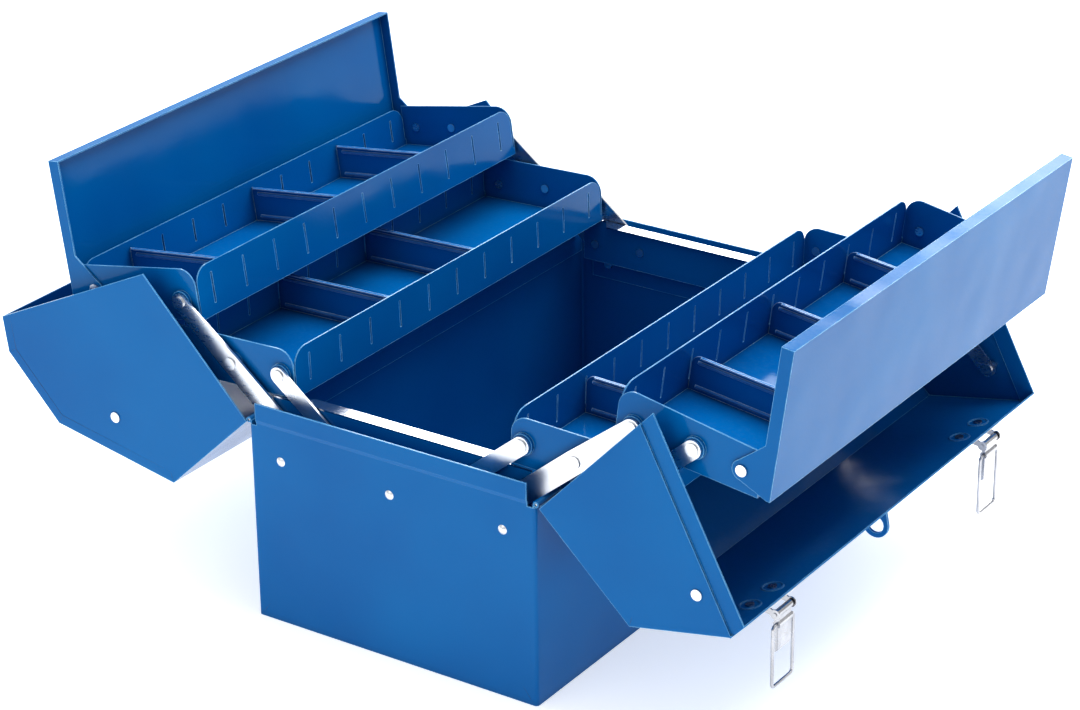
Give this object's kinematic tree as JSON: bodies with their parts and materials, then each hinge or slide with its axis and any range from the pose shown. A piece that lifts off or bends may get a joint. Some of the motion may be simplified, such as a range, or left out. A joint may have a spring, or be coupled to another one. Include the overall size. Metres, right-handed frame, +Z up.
{
  "type": "cantilever tool box",
  "caption": "Sheet steel cantilever tool box, open, with hinged roof wings, linked trays on both sides, tray covers, catches and a carry handle.",
  "frame": {"origin": "middle of the flat base on the floor", "axes": "+Z up, +Y along the box to the far end, +X across it to the wing that carries the catches"},
  "size_m": [0.7134, 0.463, 0.3328],
  "materials": {
    "enamel": "gloss enamel",
    "zinc": "bright zinc plate",
    "nickel": "bright nickel plate",
    "black_steel": "black gloss",
    "grip": "moulded black"
  },
  "bodies": {
    "box": {"body_shell": "enamel", "front_bracket": "enamel", "rear_bracket": "enamel", "bracket_rivets": "zinc", "fixed_pivots": "zinc", "body_hinge_leaves": "enamel", "hinge_pins": "zinc"},
    "right_wing": {"right_wing": "enamel", "right_wing_leaf": "enamel", "right_wing_studs": "zinc", "lock_eye": "enamel", "catch_bases": "nickel"},
    "left_wing": {"left_wing": "enamel", "left_wing_leaf": "enamel", "left_wing_studs": "zinc", "catch_hooks": "black_steel", "handle_brackets": "nickel"},
    "handle": {"handle_rod": "nickel", "handle_grip": "grip"},
    "front_lever": {"front_catch_lever": "nickel"},
    "front_loop": {"front_catch_loop": "nickel"},
    "rear_lever": {"rear_catch_lever": "nickel"},
    "rear_loop": {"rear_catch_loop": "nickel"},
    "right_long_links": {"right_long_links": "zinc", "right_long_link_rivets": "zinc"},
    "right_short_links": {"right_short_links": "zinc"},
    "right_upper_links": {"right_upper_links": "zinc"},
    "right_wing_links": {"right_wing_links": "zinc"},
    "right_lower_tray": {"right_lower_tray": "enamel", "right_lower_studs": "zinc", "right_lower_dividers": "enamel"},
    "right_upper_tray": {"right_upper_tray": "enamel", "right_upper_studs": "zinc", "right_upper_dividers": "enamel"},
    "right_cover": {"right_cover": "enamel"},
    "left_long_links": {"left_long_links": "zinc", "left_long_link_rivets": "zinc"},
    "left_short_links": {"left_short_links": "zinc"},
    "left_upper_links": {"left_upper_links": "zinc"},
    "left_wing_links": {"left_wing_links": "zinc"},
    "left_lower_tray": {"left_lower_tray": "enamel", "left_lower_studs": "zinc", "left_lower_dividers": "enamel"},
    "left_upper_tray": {"left_upper_tray": "enamel", "left_upper_studs": "zinc", "left_upper_dividers": "enamel"},
    "left_cover": {"left_cover": "enamel"}
  },
  "joints": [
    {"name": "right_wing_hinge", "type": "hinge", "parent": "box", "child": "right_wing", "pos_m": [0.1315, 0, 0.1675], "axis": [0, -1, 0], "range_deg": [0, 133.5]},
    {"name": "right_long_link_pivot", "type": "hinge", "parent": "box", "child": "right_long_links", "pos_m": [0.1065, 0, 0.162], "axis": [0, -1, 0], "range_deg": [0, 95.02]},
    {"name": "right_short_link_pivot", "type": "hinge", "parent": "box", "child": "right_short_links", "pos_m": [0.06111, 0, 0.16396], "axis": [0, -1, 0], "range_deg": [0, 97.09]},
    {"name": "right_lower_tray_pivot", "type": "hinge", "parent": "right_long_links", "child": "right_lower_tray", "pos_m": [0.15666, 0, 0.20334], "axis": [0, -1, 0], "range_deg": [-93.52, 0]},
    {"name": "right_upper_tray_pivot", "type": "hinge", "parent": "right_long_links", "child": "right_upper_tray", "pos_m": [0.2045, 0, 0.24278], "axis": [0, -1, 0], "range_deg": [-90.02, 0]},
    {"name": "right_upper_link_pivot", "type": "hinge", "parent": "right_lower_tray", "child": "right_upper_links", "pos_m": [0.20501, 0, 0.197], "axis": [0, -1, 0], "range_deg": [0, 87.57]},
    {"name": "right_wing_link_pivot", "type": "hinge", "parent": "right_lower_tray", "child": "right_wing_links", "pos_m": [0.20501, 0, 0.197], "axis": [0, -1, 0], "range_deg": [0, 162.77]},
    {"name": "right_cover_hinge", "type": "hinge", "parent": "right_upper_tray", "child": "right_cover", "pos_m": [0.2928, 0, 0.23238], "axis": [0, -1, 0], "range_deg": [0, 88.02]},
    {"name": "left_wing_hinge", "type": "hinge", "parent": "box", "child": "left_wing", "pos_m": [-0.1315, 0, 0.1675], "axis": [0, 1, 0], "range_deg": [0, 133.5]},
    {"name": "left_long_link_pivot", "type": "hinge", "parent": "box", "child": "left_long_links", "pos_m": [-0.1065, 0, 0.162], "axis": [0, 1, 0], "range_deg": [0, 95.02]},
    {"name": "left_short_link_pivot", "type": "hinge", "parent": "box", "child": "left_short_links", "pos_m": [-0.06111, 0, 0.16396], "axis": [0, 1, 0], "range_deg": [0, 97.09]},
    {"name": "left_lower_tray_pivot", "type": "hinge", "parent": "left_long_links", "child": "left_lower_tray", "pos_m": [-0.15666, 0, 0.20334], "axis": [0, 1, 0], "range_deg": [-93.52, 0]},
    {"name": "left_upper_tray_pivot", "type": "hinge", "parent": "left_long_links", "child": "left_upper_tray", "pos_m": [-0.2045, 0, 0.24278], "axis": [0, 1, 0], "range_deg": [-90.02, 0]},
    {"name": "left_upper_link_pivot", "type": "hinge", "parent": "left_lower_tray", "child": "left_upper_links", "pos_m": [-0.20501, 0, 0.197], "axis": [0, 1, 0], "range_deg": [0, 87.57]},
    {"name": "left_wing_link_pivot", "type": "hinge", "parent": "left_lower_tray", "child": "left_wing_links", "pos_m": [-0.20501, 0, 0.197], "axis": [0, 1, 0], "range_deg": [0, 162.77]},
    {"name": "left_cover_hinge", "type": "hinge", "parent": "left_upper_tray", "child": "left_cover", "pos_m": [-0.2928, 0, 0.23238], "axis": [0, 1, 0], "range_deg": [0, 88.02]},
    {"name": "front_lever_pivot", "type": "hinge", "parent": "right_wing", "child": "front_lever", "pos_m": [0.29865, -0.1622, 0.10204], "axis": [0, 1, 0], "range_deg": [-60, 70]},
    {"name": "front_loop_pivot", "type": "hinge", "parent": "front_lever", "child": "front_loop", "pos_m": [0.29865, -0.1622, 0.09305], "axis": [0, 1, 0], "range_deg": [-105, 10]},
    {"name": "rear_lever_pivot", "type": "hinge", "parent": "right_wing", "child": "rear_lever", "pos_m": [0.29865, 0.1622, 0.10204], "axis": [0, 1, 0], "range_deg": [-60, 70]},
    {"name": "rear_loop_pivot", "type": "hinge", "parent": "rear_lever", "child": "rear_loop", "pos_m": [0.29865, 0.1622, 0.09305], "axis": [0, 1, 0], "range_deg": [-105, 10]},
    {"name": "handle_pivot", "type": "hinge", "parent": "left_wing", "child": "handle", "pos_m": [-0.35711, 0, 0.13438], "axis": [0, 1, 0], "range_deg": [-37, 130]}
  ],
  "couplings": [
    {"joint": "right_long_link_pivot", "follows": "right_wing_hinge", "ratio": 0.71161},
    {"joint": "right_short_link_pivot", "follows": "right_wing_hinge", "ratio": 0.72714},
    {"joint": "right_lower_tray_pivot", "follows": "right_wing_hinge", "ratio": -0.70037},
    {"joint": "right_upper_tray_pivot", "follows": "right_wing_hinge", "ratio": -0.67416},
    {"joint": "right_upper_link_pivot", "follows": "right_wing_hinge", "ratio": 0.6558},
    {"joint": "right_wing_link_pivot", "follows": "right_wing_hinge", "ratio": 1.2191},
    {"joint": "right_cover_hinge", "follows": "right_wing_hinge", "ratio": 0.65918},
    {"joint": "left_long_link_pivot", "follows": "left_wing_hinge", "ratio": 0.71161},
    {"joint": "left_short_link_pivot", "follows": "left_wing_hinge", "ratio": 0.72714},
    {"joint": "left_lower_tray_pivot", "follows": "left_wing_hinge", "ratio": -0.70037},
    {"joint": "left_upper_tray_pivot", "follows": "left_wing_hinge", "ratio": -0.67416},
    {"joint": "left_upper_link_pivot", "follows": "left_wing_hinge", "ratio": 0.6558},
    {"joint": "left_wing_link_pivot", "follows": "left_wing_hinge", "ratio": 1.2191},
    {"joint": "left_cover_hinge", "follows": "left_wing_hinge", "ratio": 0.65918}
  ]
}
